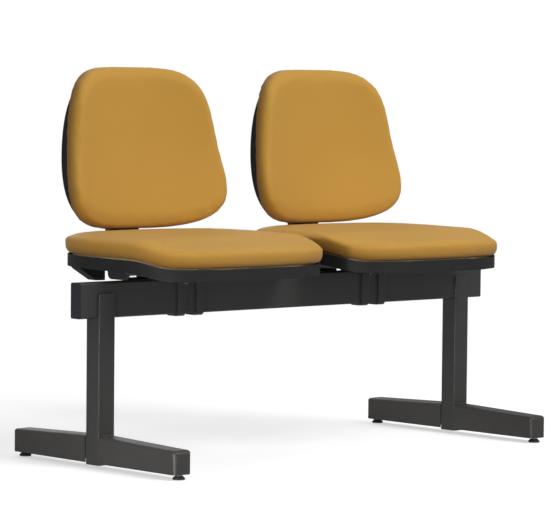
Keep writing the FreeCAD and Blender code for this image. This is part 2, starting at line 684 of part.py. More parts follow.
def make_spine_cover(side, centre):
    """Plastic boot and sleeve over the bend and the lower part of the spine."""
    body = new_body("spine_cover_" + side)
    front = "(%s - cover_front)" % SPINE_FRONT
    rear = "(%s + cover_front)" % SPINE_REAR
    sketch = new_sketch(body, "YZ_Plane")
    add_polygon(sketch, [
        (COVER_FOOT_Y, COVER_BASE), (on_spine(rear, COVER_BASE), COVER_BASE),
        on_back(rear, "cover_top"), on_back(front, "cover_top"),
        (on_spine(front, COVER_FOOT_TOP), COVER_FOOT_TOP), (COVER_FOOT_Y, COVER_FOOT_TOP)])
    pad(body, sketch, "spine_width + 2 * cover_side", both_ways=True)
    half = number("spine_width / 2 + cover_side")
    fillet(body, "cover_heel", lambda e: runs_along(e, X_AXIS) and near(
        e, on_spine(rear, COVER_BASE), COVER_BASE))
    fillet(body, "cover_bend", lambda e: runs_along(e, X_AXIS) and near(
        e, on_spine(front, COVER_FOOT_TOP), COVER_FOOT_TOP))
    fillet(body, "cover_edge", lambda e: abs(abs(middle(e).x) - half) < 1e-3 and e.Length > 25)
    inside_front = "(%s + cover_wall)" % front
    inside_rear = "(%s - cover_wall)" % rear
    low = "(%s + cover_wall)" % COVER_BASE
    high = "(%s - cover_wall)" % COVER_FOOT_TOP
    sketch = new_sketch(body, "YZ_Plane")
    add_polygon(sketch, [
        (COVER_FOOT_Y + " - 1", low), (on_spine(inside_rear, low), low),
        on_back(inside_rear, "cover_top + 1"), on_back(inside_front, "cover_top + 1"),
        (on_spine(inside_front, high), high), (COVER_FOOT_Y + " - 1", high)])
    pocket(body, sketch, "spine_width + 2 * cover_clearance", both_ways=True)
    fillet(body, "cover_bend + cover_wall", lambda e: runs_along(e, X_AXIS) and near(
        e, on_spine(inside_front, high), high))
    place(body, x=centre)


def make_spine_cap(side, centre):
    """Plastic cover over the spine's upper end and its screws, modelled in the back's frame."""
    body = new_body("spine_cap_" + side)
    sketch = new_sketch(body, "XZ_Plane", "-(%s + %s)" % (SPINE_FRONT, CAP_DEPTH))
    add_rectangle(sketch, "-%s / 2" % CAP_WIDTH, "%s / 2" % CAP_WIDTH, CAP_BASE, CAP_TOP)
    pad(body, sketch, CAP_DEPTH + " - cap_gap")
    rear = number("%s + %s" % (SPINE_FRONT, CAP_DEPTH))
    low = number(CAP_BASE)
    fillet(body, "cap_corner", lambda e: runs_along(e, V(0, 1, 0)) and middle(e).z > low + 1)
    fillet(body, "cap_edge", lambda e: abs(middle(e).y - rear) < 1e-3 and middle(e).z > low + 1)
    sketch = new_sketch(body, "XZ_Plane", "-(%s + cap_gap)" % SPINE_FRONT)
    side = "(%s / 2 - cap_wall)" % CAP_WIDTH
    top = "(%s - cap_wall)" % CAP_TOP
    slant = "cap_slant * cap_corner"
    right = [(side, CAP_BASE + " - 1"), (side, "%s - %s" % (top, slant)), ("%s - %s" % (side, slant), top)]
    left = [("-(%s)" % x, z) for x, z in reversed(right)]
    add_polygon(sketch, right + left)
    pocket(body, sketch, CAP_DEPTH + " - cap_gap - cap_wall", both_ways=False)
    return body


# Lofts of the back: level slices in the back's leaning frame, x across, y to the rear, z up

BACK_STATIONS = [-0.985, -0.95, -0.9, -0.82, -0.72, -0.6, -0.46, -0.28, 0,
                 0.28, 0.46, 0.6, 0.72, 0.82, 0.9, 0.95, 0.985]


def back_half_width(station, inset):
    squareness = size("back_squareness")
    full = size("back_width") / 2 - inset
    return full * (1 - size("back_taper") * station) * (1 - abs(station) ** squareness) ** (1 / squareness)


def back_line(x, z):
    """Depth of the surface between pad and shell, which curls forwards to every edge."""
    return -x * x / (2 * size("back_bend_radius")) - z * z / (2 * size("back_dish_radius"))


def back_slice(half, z, edge_front, edge_rear, mid_front, mid_rear, nose=0):
    """Closed slice: a front arc and a rear arc, joined at the sides by lines or by round noses."""
    edge = back_line(half, z)
    level = back_line(0, z)
    front = V(half, edge + edge_front, z)
    rear = V(half, edge + edge_rear, z)
    left_front = V(-half, front.y, z)
    left_rear = V(-half, rear.y, z)
    front_arc = Part.Arc(left_front, V(0, level + mid_front, z), front).toShape()
    rear_arc = Part.Arc(rear, V(0, level + mid_rear, z), left_rear).toShape()
    if nose:
        tip = V(half + nose, (front.y + rear.y) / 2, z)
        right_side = Part.Arc(front, tip, rear).toShape()
        left_side = Part.Arc(left_rear, V(-tip.x, tip.y, z), left_front).toShape()
    else:
        right_side = Part.LineSegment(front, rear).toShape()
        left_side = Part.LineSegment(left_rear, left_front).toShape()
    return Part.Wire([front_arc, right_side, rear_arc, left_side])


def make_back_board():
    """Curved plywood board; its rear face lies on the line between pad and shell."""
    inset = size("back_board_inset")
    thick = size("back_board_thickness")
    gap = size("board_clearance")
    reach = size("back_height") / 2 - inset
    wires = []
    for station in BACK_STATIONS:
        half = back_half_width(station, inset)
        wires.append(back_slice(half, station * reach, -thick, -gap, -thick, -gap))
    shape = Part.makeLoft(wires, True, False)
    for x, z in back_screw_places():
        loose = size("tee_clearance")
        shape = shape.cut(back_post(x, z, size("tee_barrel") + loose, -3 * thick, 3 * thick))
        seat = back_line(x, z) - thick + size("tee_flange") + gap + loose
        shape = shape.cut(back_post(x, z, size("tee_radius") + loose, seat - 3 * thick, seat))
    return shape


def back_post(x, z, radius, front, rear):
    return Part.makeCylinder(radius, rear - front, V(x, front, z), V(0, 1, 0))


def back_screw_places():
    return [(sx * size("back_screw_x"), z) for sx in (-1, 1)
            for z in (size("back_screw_low"), size("back_screw_high"))]


def shell_depth(z):
    """How far the shell's middle and its side edges stand behind the line, at a height."""
    end = size("back_height") / 2
    flat = size("back_shell_flat")
    beyond = max(0, (abs(z) - flat) / (end - flat))
    full = size("back_shell_depth")
    rim = size("back_shell_rim")
    middle_depth = full - (full - rim) * min(1, beyond) ** 1.5 - back_line(0, z) * (1 - beyond)
    lowered = (z + size("back_shell_lowered") * end) / (size("back_shell_span") * end)
    return middle_depth, max(rim, size("back_shell_side") * (1 - lowered ** 2))


def make_back_shell():
    """Moulded shell behind the back, with four bosses for the screws."""
    wall = size("shell_wall")
    gap = size("board_clearance")
    end = size("back_height") / 2
    outer = []
    inner = []
    for station in BACK_STATIONS:
        z = station * end
        middle_depth, side_depth = shell_depth(z)
        outer.append(back_slice(back_half_width(station, 0), z, gap, side_depth, gap, middle_depth))
        z = station * (end - wall)
        middle_depth, side_depth = shell_depth(z)
        inner.append(back_slice(back_half_width(station, wall), z, -wall, side_depth - wall * 0.9,
                                -wall, middle_depth - wall))
    shape = Part.makeLoft(outer, True, False).cut(Part.makeLoft(inner, True, False))
    depth = size("back_shell_depth")
    for x, z in back_screw_places():
        shape = shape.fuse(back_post(x, z, size("back_boss_radius"), back_line(x, z) + gap, depth - wall / 2))
    for x, z in back_screw_places():
        shape = shape.cut(back_post(x, z, size("screw_radius") + size("bolt_clearance"), -depth, 2 * depth))
    return shape.removeSplitter()


def make_back_cushion():
    """Crowned pad in front of the board; thick in the middle, soft and thin at its edges."""
    gap = size("board_clearance")
    end = size("back_height") / 2
    thick = size("back_board_thickness")
    wires = []
    for station in BACK_STATIONS:
        half = back_half_width(station, 0)
        fullness = (1 - abs(station) ** size("pad_squareness")) ** (1 / size("pad_softness"))
        front = -(size("back_pad_edge") + (size("back_pad") - size("back_pad_edge")) * fullness)
        edge = front * size("back_pad_side")
        nose = size("nose_inset") + size("nose_growth") * fullness
        wires.append(back_slice(half - size("nose_inset"), station * end, edge, 0, front, 0, nose))
    shape = Part.makeLoft(wires, True, False)
    inset = size("back_board_inset") - gap
    reach = end - inset
    hollow = [back_slice(back_half_width(s, inset), s * reach, -thick - gap, thick, -thick - gap, thick)
              for s in BACK_STATIONS]
    return shape.cut(Part.makeLoft(hollow, True, False))


def make_back_screws():
    """Screws from behind the spine, and the tee nuts in the board that they reach."""
    spine_rear = number(SPINE_REAR)
    thick = size("back_board_thickness")
    screws = []
    tees = []
    to_front = FreeCAD.Rotation(X_AXIS, 90)
    for x, z in back_screw_places():
        flange = back_line(x, z) - thick + size("tee_flange") + size("board_clearance")
        screw = round_screw(spine_rear - flange - size("screw_gap"))
        screw.Placement = FreeCAD.Placement(V(x, spine_rear, z), to_front)
        screws.append(screw)
        tee = tee_nut()
        tee.Placement = FreeCAD.Placement(V(x, flange, z), to_front)
        tees.append(tee)
    return Part.makeCompound(screws), Part.makeCompound(tees)


def in_back_frame(node, centre):
    place(node, x=centre, y=BACK_Y, z=BACK_Z, turn=(X_AXIS, -size("back_tilt")))


def make_back(side, centre):
    in_back_frame(new_solid("back_board_" + side, make_back_board()), centre)
    in_back_frame(new_solid("back_shell_" + side, make_back_shell()), centre)
    in_back_frame(new_solid("back_cushion_" + side, make_back_cushion()), centre)
    screws, tees = make_back_screws()
    in_back_frame(new_solid("back_screws_" + side, screws), centre)
    in_back_frame(new_solid("back_tee_nuts_" + side, tees), centre)
    in_back_frame(make_spine_cap(side, centre), centre)


# Assembly

make_beam()
for side, sign in (("left", -1), ("right", 1)):
    make_beam_cap(side, sign)
    make_column(side, sign)
    for end, end_sign in (("front", -1), ("rear", 1)):
        make_foot(end, end_sign, side, sign)
        make_glide(end, end_sign, side, sign)

for side, sign in (("left", -1), ("right", 1)):
    centre = "%d * %s / 2" % (sign, SEAT_PITCH)
    make_mount(side, centre)
    make_strap("clamp_strap_outer_" + side, centre, "strap_shift + %d * strap_spacing / 2" % sign)
    make_strap("clamp_strap_inner_" + side, centre, "strap_shift - %d * strap_spacing / 2" % sign)
    make_clamp_bolts(side, centre)
    make_seat_board(side, centre)
    make_seat_shell(side, centre)
    make_seat_screws(side, centre)
    make_seat_cushion(side, centre)
    make_spine(side, centre)
    make_spine_cover(side, centre)
    make_back(side, centre)

doc.recompute()

for obj in doc.Objects:
    if "Invalid" in obj.State or "Error" in obj.State:
        raise RuntimeError("%s (%s) failed: %s" % (obj.Label, obj.TypeId, obj.State))
for node in nodes:
    if node.Shape.isNull() or not node.Shape.isValid() or node.Shape.Volume <= 0:
        raise RuntimeError(node.Label + " has no valid shape")

os.makedirs("parts", exist_ok=True)
for node in nodes:
    node.Shape.exportStep("parts/%s.step" % node.Label)
print("%d nodes written" % len(nodes))
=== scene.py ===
import bpy
import bmesh
import math
from mathutils import Matrix, Vector


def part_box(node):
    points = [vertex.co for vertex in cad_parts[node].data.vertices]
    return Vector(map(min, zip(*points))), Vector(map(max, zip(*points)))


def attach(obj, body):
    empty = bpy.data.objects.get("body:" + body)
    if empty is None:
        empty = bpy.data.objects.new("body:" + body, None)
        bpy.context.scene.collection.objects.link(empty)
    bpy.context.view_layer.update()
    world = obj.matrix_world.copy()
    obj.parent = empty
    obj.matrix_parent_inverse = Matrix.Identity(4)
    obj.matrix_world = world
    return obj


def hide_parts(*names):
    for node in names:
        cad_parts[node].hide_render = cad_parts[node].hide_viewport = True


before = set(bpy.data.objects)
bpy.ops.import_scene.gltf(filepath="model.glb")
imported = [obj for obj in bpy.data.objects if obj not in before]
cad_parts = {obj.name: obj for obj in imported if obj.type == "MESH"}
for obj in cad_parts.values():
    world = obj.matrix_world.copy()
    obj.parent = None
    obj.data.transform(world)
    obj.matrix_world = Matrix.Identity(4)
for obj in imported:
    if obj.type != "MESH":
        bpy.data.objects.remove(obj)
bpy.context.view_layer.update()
scene = bpy.context.scene
sides = {"left": -1, "right": 1}

# the middles of the two seats stand this far apart, half of it on each side of the origin
seatLow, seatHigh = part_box("seat_cushion_right")
seatPitch = seatLow.x + seatHigh.x


# camera

cameraSettings = {
    "yaw": -42.554,                    # degrees round Z from looking along +Y
    "pitch": 3.261,                    # looking down
    "roll": 0.555,
    "target": (-0.03491, 0, 0.38987),
    "distance": 6.2214,
    "lens": 198.62,                    # mm on a 36 mm sensor
}


def makeCamera(s):
    yaw, pitch, roll = (math.radians(s[k]) for k in ("yaw", "pitch", "roll"))
    back = Vector((math.sin(yaw) * math.cos(pitch), -math.cos(yaw) * math.cos(pitch),
                   math.sin(pitch)))
    right = Vector((math.cos(yaw), math.sin(yaw), 0))
    up = back.cross(right)
    turned = math.cos(roll) * right + math.sin(roll) * up
    upright = math.cos(roll) * up - math.sin(roll) * right
    place = Matrix.Translation(Vector(s["target"]) + back * s["distance"])
    data = bpy.data.cameras.new("camera")
    data.lens = s["lens"]
    data.clip_end = 50
    camera = bpy.data.objects.new("camera", data)
    camera.matrix_world = place @ Matrix((turned, upright, back)).transposed().to_4x4()
    scene.collection.objects.link(camera)
    scene.camera = camera


# shader nodes: each helper returns the socket that carries its result

def feed(links, socket, value):
    # a socket takes either another node's result or a fixed value
    if isinstance(value, bpy.types.NodeSocket):
        links.new(value, socket)
    else:
        socket.default_value = value


def mathOf(nodes, links, operation, *values):
    node = nodes.new("ShaderNodeMath")
    node.operation = operation
    for socket, value in zip(node.inputs, values):
        feed(links, socket, value)
    return node.outputs[0]


def mixedColor(nodes, links, factor, first, second, blend="MIX"):
    mix = nodes.new("ShaderNodeMix")
    mix.data_type = "RGBA"
    mix.blend_type = blend
    feed(links, mix.inputs["Factor"], factor)
    feed(links, mix.inputs["A"], first)
    feed(links, mix.inputs["B"], second)
    return mix.outputs["Result"]


def mixedShader(nodes, links, factor, first, second):
    mix = nodes.new("ShaderNodeMixShader")
    for socket, value in zip(mix.inputs, (factor, first, second)):
        links.new(value, socket)
    return mix.outputs[0]


def mappedRange(nodes, links, value, fromRange, toRange):
    node = nodes.new("ShaderNodeMapRange")
    for label, limits in (("From", fromRange), ("To", toRange)):
        for end, limit in zip((" Min", " Max"), limits):
            node.inputs[label + end].default_value = limit
    links.new(value, node.inputs["Value"])
    return node.outputs[0]


def noiseOn(nodes, links, coordinates, scale, detail=4):
    texture = nodes.new("ShaderNodeTexNoise")
    texture.inputs["Scale"].default_value = scale
    texture.inputs["Detail"].default_value = detail
    texture.inputs["Roughness"].default_value = 0.55
    links.new(coordinates, texture.inputs["Vector"])
    return texture.outputs["Fac"]


def bumpFrom(nodes, links, height, strength, distance):
    bump = nodes.new("ShaderNodeBump")
    bump.inputs["Strength"].default_value = strength
    bump.inputs["Distance"].default_value = distance
    links.new(height, bump.inputs["Height"])
    return bump.outputs[0]


def seenDirectly(nodes, links):
    # 1 for rays from the camera or through glass, 0 for the light that reaches the object
    path = nodes.new("ShaderNodeLightPath")
    return mathOf(nodes, links, "MAXIMUM", path.outputs["Is Camera Ray"],
                  path.outputs["Is Transmission Ray"])


def newMaterial(name):
    material = bpy.data.materials.new(name)
    material.use_nodes = True
    nodes, links = material.node_tree.nodes, material.node_tree.links
    return material, nodes, links, nodes["Principled BSDF"]


# lights and floor

white = (1, 1, 1, 1)
studioSettings = {
    "ambient": 0.34,
    "lamps": {
        "key": {"place": (0.9, -3.4, 3.5), "size": 2.6, "power": 166, "aim": (0, 0, 0.45)},
        "side": {"place": (-4.0, -1.2, 1.0), "size": 2.0, "power": 10, "aim": (0, 0, 0.3)},
        "top": {"place": (0, 0.4, 4.2), "size": 4.0, "power": 25, "aim": (0, 0, 0.45)},
        "rear": {"place": (1.6, 3.6, 2.4), "size": 3.0, "power": 34, "aim": (0, 0, 0.4)},
        "low": {"place": (-6.0, -2.2, 0.4), "size": 0.8, "power": 2.6, "aim": (0, 0, -0.15),
                "spread": 12},         # degrees: a narrow beam on the legs and feet
    },
    "floorColor": (0.55, 0.55, 0.55, 1),
    "floorGlow": 0.54,                 # added for camera rays, so that the open floor is white
    "floorFade": (0.75, 2.0),          # metres from the middle, over which it turns plain white
    "floorSize": 14,
    "floorDrop": 0.0005,               # keeps it just clear of the glides
}


def aimedAreaLight(name, s):
    data = bpy.data.lights.new(name, "AREA")
    data.shape = "DISK"
    data.size = s["size"]
    data.energy = s["power"]
    data.spread = math.radians(s.get("spread", 180))
    light = bpy.data.objects.new(name, data)
    light.location = s["place"]
    aim = Vector(s["aim"]) - Vector(s["place"])
    light.rotation_euler = aim.to_track_quat("-Z", "Y").to_euler()
    scene.collection.objects.link(light)


def makeWorld(s):
    # plain white where the camera sees it, and a dimmer white as light on the object
    world = bpy.data.worlds.new("studio")
    scene.world = world
    world.use_nodes = True
    nodes, links = world.node_tree.nodes, world.node_tree.links
    dim, bright = nodes["Background"], nodes.new("ShaderNodeBackground")
    for background, strength in ((dim, s["ambient"]), (bright, 1)):
        background.inputs["Color"].default_value = white
        background.inputs["Strength"].default_value = strength
    mix = mixedShader(nodes, links, seenDirectly(nodes, links), dim.outputs[0], bright.outputs[0])
    links.new(mix, nodes["World Output"].inputs["Surface"])


def makePaper(s):
    material, nodes, links, paper = newMaterial("floor paper")
    paper.inputs["Base Color"].default_value = s["floorColor"]
    paper.inputs["Roughness"].default_value = 0.9
    paper.inputs["Specular IOR Level"].default_value = 0.1
    seen = seenDirectly(nodes, links)
    glow, plain = (nodes.new("ShaderNodeEmission") for _ in range(2))
    glow.inputs["Color"].default_value = white
    links.new(mathOf(nodes, links, "MULTIPLY", seen, s["floorGlow"]), glow.inputs["Strength"])
    plain.inputs["Strength"].default_value = 1
    both = nodes.new("ShaderNodeAddShader")
    links.new(paper.outputs[0], both.inputs[0])
    links.new(glow.outputs[0], both.inputs[1])
    # far from the bench the paper runs out into plain white, so that no horizon shows
    away = nodes.new("ShaderNodeVectorMath")
    away.operation = "LENGTH"
    links.new(nodes.new("ShaderNodeTexCoord").outputs["Object"], away.inputs[0])
    fade = mappedRange(nodes, links, away.outputs["Value"], s["floorFade"], (0, 1))
    share = mathOf(nodes, links, "MULTIPLY", fade, seen)
    surface = mixedShader(nodes, links, share, both.outputs[0], plain.outputs[0])
    links.new(surface, nodes["Material Output"].inputs["Surface"])
    return material


def makeStudio(s):
    scene.view_settings.view_transform = "Standard"
    makeWorld(s)
    for name, lamp in s["lamps"].items():
        aimedAreaLight(name, lamp)
    bm = bmesh.new()
    bmesh.ops.create_grid(bm, x_segments=2, y_segments=2, size=s["floorSize"])
    mesh = bpy.data.meshes.new("floor")
    bm.to_mesh(mesh)
    bm.free()
    mesh.materials.append(makePaper(s))
    floor = bpy.data.objects.new("floor", mesh)
    floor.location.z = -s["floorDrop"]
    scene.collection.objects.link(floor)


# finishes

finishes = {
    "powderCoat": {"name": "powder coat", "color": (0.0232, 0.0228, 0.0220), "roughness": 0.46,
                   "grain": 1400, "depth": 0.06, "specular": 0.45, "wearAndHighlightEdge": 0.0012},
    # the same powder coat painted lighter, standing in for the extra light that reaches the feet
    # near the floor
    "paintedLightFootCoat": {"name": "powder coat painted lighter on the feet", "color": (0.029, 0.0265, 0.025),
                 "roughness": 0.46, "grain": 1400, "depth": 0.06, "specular": 0.45,
                 "wearAndHighlightEdge": 0.0012},
    "shellPlastic": {"name": "shell plastic", "color": (0.0095, 0.0098, 0.0100),
                     "roughness": 0.6, "grain": 900, "depth": 0.12, "specular": 0.28},
    "coverPlastic": {"name": "cover plastic", "color": (0.008, 0.009, 0.016),
                     "roughness": 0.4, "grain": 900, "depth": 0.08},
    "glidePlastic": {"name": "glide plastic", "color": (0.012, 0.012, 0.013),
                     "roughness": 0.6, "grain": 700, "depth": 0.1},
    "zincPlate": {"name": "zinc plate", "color": (0.45, 0.45, 0.44), "metallic": 1,
                  "roughness": 0.35, "grain": 500, "depth": 0.04},
    "blackSteel": {"name": "black steel", "color": (0.014, 0.014, 0.015),
                   "roughness": 0.4, "grain": 600, "depth": 0.05},
    "plywood": {"name": "plywood", "color": (0.5, 0.35, 0.2),
                "roughness": 0.65, "grain": 120, "depth": 0.1},
}
# what all finishes share: soft clouds in colour and gloss, and the coat's paler edges, which are
# partly rubbed wear and partly a painted highlight
unevenness = {
    "cloudScale": 9, "cloudShare": 0.18,
    "glossScale": 40, "glossRange": 0.07,
    "grainDistance": 0.0003,
    "wearAndHighlightScale": 25, "wearAndHighlightColor": (0.11, 0.108, 0.105, 1),
    "wearAndHighlightTurn": (0.84, 0.985),         # cosines between the rounded and the true normal
}


def edgeMask(nodes, links, radius):
    # 1 on a sharp edge and 0 on a flat: a rounded normal turns away from the true one at edges
    rounded = nodes.new("ShaderNodeBevel")
    rounded.samples = 4
    rounded.inputs["Radius"].default_value = radius
    alike = nodes.new("ShaderNodeVectorMath")
    alike.operation = "DOT_PRODUCT"
    links.new(rounded.outputs[0], alike.inputs[0])
    links.new(nodes.new("ShaderNodeNewGeometry").outputs["Normal"], alike.inputs[1])
    return mappedRange(nodes, links, alike.outputs["Value"], unevenness["wearAndHighlightTurn"], (1, 0))


def makeFinish(s, uneven=unevenness):
    material, nodes, links, shader = newMaterial(s["name"])
    where = nodes.new("ShaderNodeTexCoord").outputs["Object"]
    dull, pale = ((*(c * (1 + change) for c in s["color"]), 1)
                  for change in (-uneven["cloudShare"], uneven["cloudShare"]))
    clouds = noiseOn(nodes, links, where, uneven["cloudScale"])
    color = mixedColor(nodes, links, clouds, dull, pale)
    if "wearAndHighlightEdge" in s:
        # the coat is paler along the edges, in patches: partly rubbed wear, partly a painted
        # highlight where the edges catch the light
        edges = edgeMask(nodes, links, s["wearAndHighlightEdge"])
        patches = noiseOn(nodes, links, where, uneven["wearAndHighlightScale"])
        wearAndHighlight = mathOf(nodes, links, "MULTIPLY", edges, patches)
        color = mixedColor(nodes, links, wearAndHighlight, color, uneven["wearAndHighlightColor"])
    links.new(color, shader.inputs["Base Color"])
    shader.inputs["Specular IOR Level"].default_value = s.get("specular", 0.5)
    shader.inputs["Metallic"].default_value = s.get("metallic", 0)
    glossRange = (s["roughness"] - uneven["glossRange"], s["roughness"] + uneven["glossRange"])
    gloss = mappedRange(nodes, links, noiseOn(nodes, links, where, uneven["glossScale"]),
                        (0, 1), glossRange)
    links.new(gloss, shader.inputs["Roughness"])
    grain = noiseOn(nodes, links, where, s["grain"])
    bump = bumpFrom(nodes, links, grain, s["depth"], uneven["grainDistance"])
    links.new(bump, shader.inputs["Normal"])
    return material


clothSettings = {
    "color": (0.505, 0.274, 0.042, 1),
    "shade": (0.45, 0.238, 0.03, 1),
    "paintedSeamShade": (0.5, 0.41, 0.25, 1),  # painted shade: the cloth darkened next to the shell, where the cushion turns under
    "roughness": 0.75, "sheen": 0.08, "sheenRoughness": 0.5, "specular": 0.35,
    "pitch": 0.0011,                   # distance between threads
    "waveLength": 0.314,               # of a wave texture whose scale is 1
    "waver": 0.6, "waverScale": 2,
    "fibreScale": 2500, "fibreShare": 0.35,
    "cloudScale": 7, "cloudShare": 0.5,
    "bump": 0.35, "bumpDistance": 0.00025,
}


def makeCloth(s):
    material, nodes, links, shader = newMaterial("mustard cloth")
    threads = nodes.new("ShaderNodeUVMap")
    threads.uv_map = "cloth"
    # warp and weft: two waves at right angles, one thread wide each
    waves = []
    for axis in ("X", "Y"):
        wave = nodes.new("ShaderNodeTexWave")
        wave.bands_direction = axis
        wave.inputs["Scale"].default_value = s["waveLength"] / s["pitch"]
        wave.inputs["Distortion"].default_value = s["waver"]
        wave.inputs["Detail Scale"].default_value = s["waverScale"]
        links.new(threads.outputs[0], wave.inputs["Vector"])
        waves.append(wave.outputs["Fac"])
    weave = mathOf(nodes, links, "MULTIPLY", *waves)
    fibres = noiseOn(nodes, links, threads.outputs[0], s["fibreScale"], detail=2)
    height = mathOf(nodes, links, "MULTIPLY_ADD", fibres, s["fibreShare"], weave)
    bump = bumpFrom(nodes, links, height, s["bump"], s["bumpDistance"])
    links.new(bump, shader.inputs["Normal"])
    # colour: clouds and weave, and painted shade darkening the cloth beside the seam
    clouds = noiseOn(nodes, links, nodes.new("ShaderNodeTexCoord").outputs["Object"],
                     s["cloudScale"])
    deepWeave = mathOf(nodes, links, "MULTIPLY", weave, 1 - s["cloudShare"])
    tone = mathOf(nodes, links, "MULTIPLY_ADD", clouds, s["cloudShare"], deepWeave)
    paintedShade = nodes.new("ShaderNodeAttribute")
    paintedShade.attribute_name = "paintedSeamShade"
    color = mixedColor(nodes, links, tone, s["shade"], s["color"])
    withPaintedShade = mixedColor(nodes, links, paintedShade.outputs["Fac"], color, s["paintedSeamShade"], "MULTIPLY")
    links.new(withPaintedShade, shader.inputs["Base Color"])
    shader.inputs["Roughness"].default_value = s["roughness"]
    shader.inputs["Sheen Weight"].default_value = s["sheen"]
    shader.inputs["Sheen Roughness"].default_value = s["sheenRoughness"]
    shader.inputs["Specular IOR Level"].default_value = s["specular"]
    return material


# soft pieces

swellSettings = {
    "voxel": 0.005, "quickVoxel": 0.006,
    "pressure": 4, "frames": 20, "quality": 5,
    "cap": 0.003,                      # no point of the cover swells further than this
    "smoothRounds": 4,
}


def newPiece(name, bm, material):
    mesh = bpy.data.meshes.new(name)
    bm.to_mesh(mesh)
    bm.free()
    piece = bpy.data.objects.new(name, mesh)
    scene.collection.objects.link(piece)
    mesh.materials.append(material)
    mesh.shade_smooth()
    return piece


def applyModifiers(piece):
    graph = bpy.context.evaluated_depsgraph_get()
    done = bpy.data.meshes.new_from_object(piece.evaluated_get(graph))
    old = piece.data
    piece.modifiers.clear()
    piece.data = done
    bpy.data.meshes.remove(old)


def swell(piece, isHeld, s=swellSettings):
    # remesh evenly, blow the cover up a little, and stop each point at the cap
    remesh = piece.modifiers.new("remesh", "REMESH")
    remesh.mode = "VOXEL"
    remesh.voxel_size = s["voxel"]
    applyModifiers(piece)
    piece.data.shade_smooth()
    rest = [v.co.copy() for v in piece.data.vertices]
    held = piece.vertex_groups.new(name="held")
    held.add([i for i, co in enumerate(rest) if isHeld(co)], 1, "REPLACE")
    cloth = piece.modifiers.new("cloth", "CLOTH")
    cloth.settings.use_pressure = True
    cloth.settings.uniform_pressure_force = s["pressure"]
    cloth.settings.effector_weights.gravity = 0
    cloth.settings.vertex_group_mass = "held"
    cloth.settings.quality = s["quality"]
    cloth.collision_settings.use_collision = False
    cloth.point_cache.frame_start = 1
    cloth.point_cache.frame_end = s["frames"]
    for step in range(1, s["frames"] + 1):
        scene.frame_set(step)
    applyModifiers(piece)
    scene.frame_set(1)
    for vertex, start in zip(piece.data.vertices, rest):
        moved = vertex.co - start
        if moved.length > s["cap"]:
            vertex.co = start + moved * (s["cap"] / moved.length)
    piece.vertex_groups.clear()
    piece.data.shade_smooth()


def finishSurface(piece, rounds):
    bm = bmesh.new()
    bm.from_mesh(piece.data)
    for _ in range(rounds):
        bmesh.ops.smooth_vert(bm, verts=bm.verts, factor=0.5, use_axis_x=True, use_axis_y=True,
                              use_axis_z=True)
    bmesh.ops.recalc_face_normals(bm, faces=bm.faces)
    bm.to_mesh(piece.data)
    bm.free()
    finer = piece.modifiers.new("finer", "SUBSURF")
    finer.levels = finer.render_levels = 1
    applyModifiers(piece)
    piece.data.shade_smooth()


def layClothMap(piece, frontAxis, preference=1.6):
    # the weave's threads run level and upright on every side, laid on from three directions,
    # and the front's direction is preferred, so that its cloth runs on over the shoulders
    layer = piece.data.uv_layers.new(name="cloth")
    for face in piece.data.polygons:
        n = face.normal
        main = max(range(3), key=lambda k: abs(n[k]) * (preference if k == frontAxis else 1))
        u, v = [k for k in range(3) if k != main]
        for corner in face.loop_indices:
            co = piece.data.vertices[piece.data.loops[corner].vertex_index].co
            layer.data[corner].uv = (co[u], co[v])


def padProfile(up, s):
    # section of a pad from its underside (-1) over its widest line (0) to its middle (1):
    # how far inside the outline, what share of the way out, and how high
    crownFrom, underFrom = 45, -30     # degrees on the globe
    angle = math.degrees(math.asin(max(-1, min(1, up))))
    if angle > crownFrom:
        share = (90 - angle) / (90 - crownFrom)
        return s["shoulder"], share, s["edge"] + (s["full"] - s["edge"]) * (1 - share * share)
    if angle > 0:
        turn = math.radians(angle * 90 / crownFrom)
        rise = (s["edge"] - s["widest"]) * math.sin(turn)
        return s["shoulder"] * (1 - math.cos(turn)), 1, s["widest"] + rise
    if angle > underFrom:
        down = angle / underFrom
        return s["tuck"] * down ** 2, 1, s["widest"] - (s["widest"] + s["lip"]) * down
    share = (90 + angle) / (90 + underFrom)
    return s["tuck"], share, -s["lip"] * max(0, share - s["lipFrom"]) / (1 - s["lipFrom"])


def onRoundedSquare(direction, halfX, halfY, squareness):
    # the outline's point that way, and how far up or down it is from -1 to 1
    n = squareness
    k = (abs(direction.x) ** n + abs(direction.y) ** n) ** (-1 / n)
    return direction.x * k * halfX, direction.y * k * halfY, direction.y * k


def padSurface(place, s):
    # a globe whose every point is put on the pad by place(direction, inset, share, height)
    bm = bmesh.new()
    bmesh.ops.create_uvsphere(bm, u_segments=128, v_segments=60, radius=1)
    for vertex in bm.verts:
        across = Vector((vertex.co.x, vertex.co.y))
        direction = across.normalized() if across.length > 1e-6 else Vector((1, 0))
        inset, share, height = padProfile(vertex.co.z, s)
        vertex.co = place(direction, inset, share, height)
    return bm


def markPaintedSeamShade(piece, aboveSeam, band):
    # how much painted shade: 1 at the seam, falling to 0 at the band's far side
    paintedShade = piece.data.attributes.new("paintedSeamShade", "FLOAT", "POINT")
    for vertex, value in zip(piece.data.vertices, paintedShade.data):
        value.value = min(1, max(0, 1 - aboveSeam(vertex.co) / band))


def finishCushion(name, node, place, aboveSeam, material, s):
    piece = newPiece(name, padSurface(place, s), material)
    swell(piece, lambda co: aboveSeam(co) < s["held"])
    finishSurface(piece, swellSettings["smoothRounds"])
    layClothMap(piece, s["frontAxis"])
    markPaintedSeamShade(piece, aboveSeam, s["paintedShadeBand"])
    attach(piece, "frame")
    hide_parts(node)


# seats

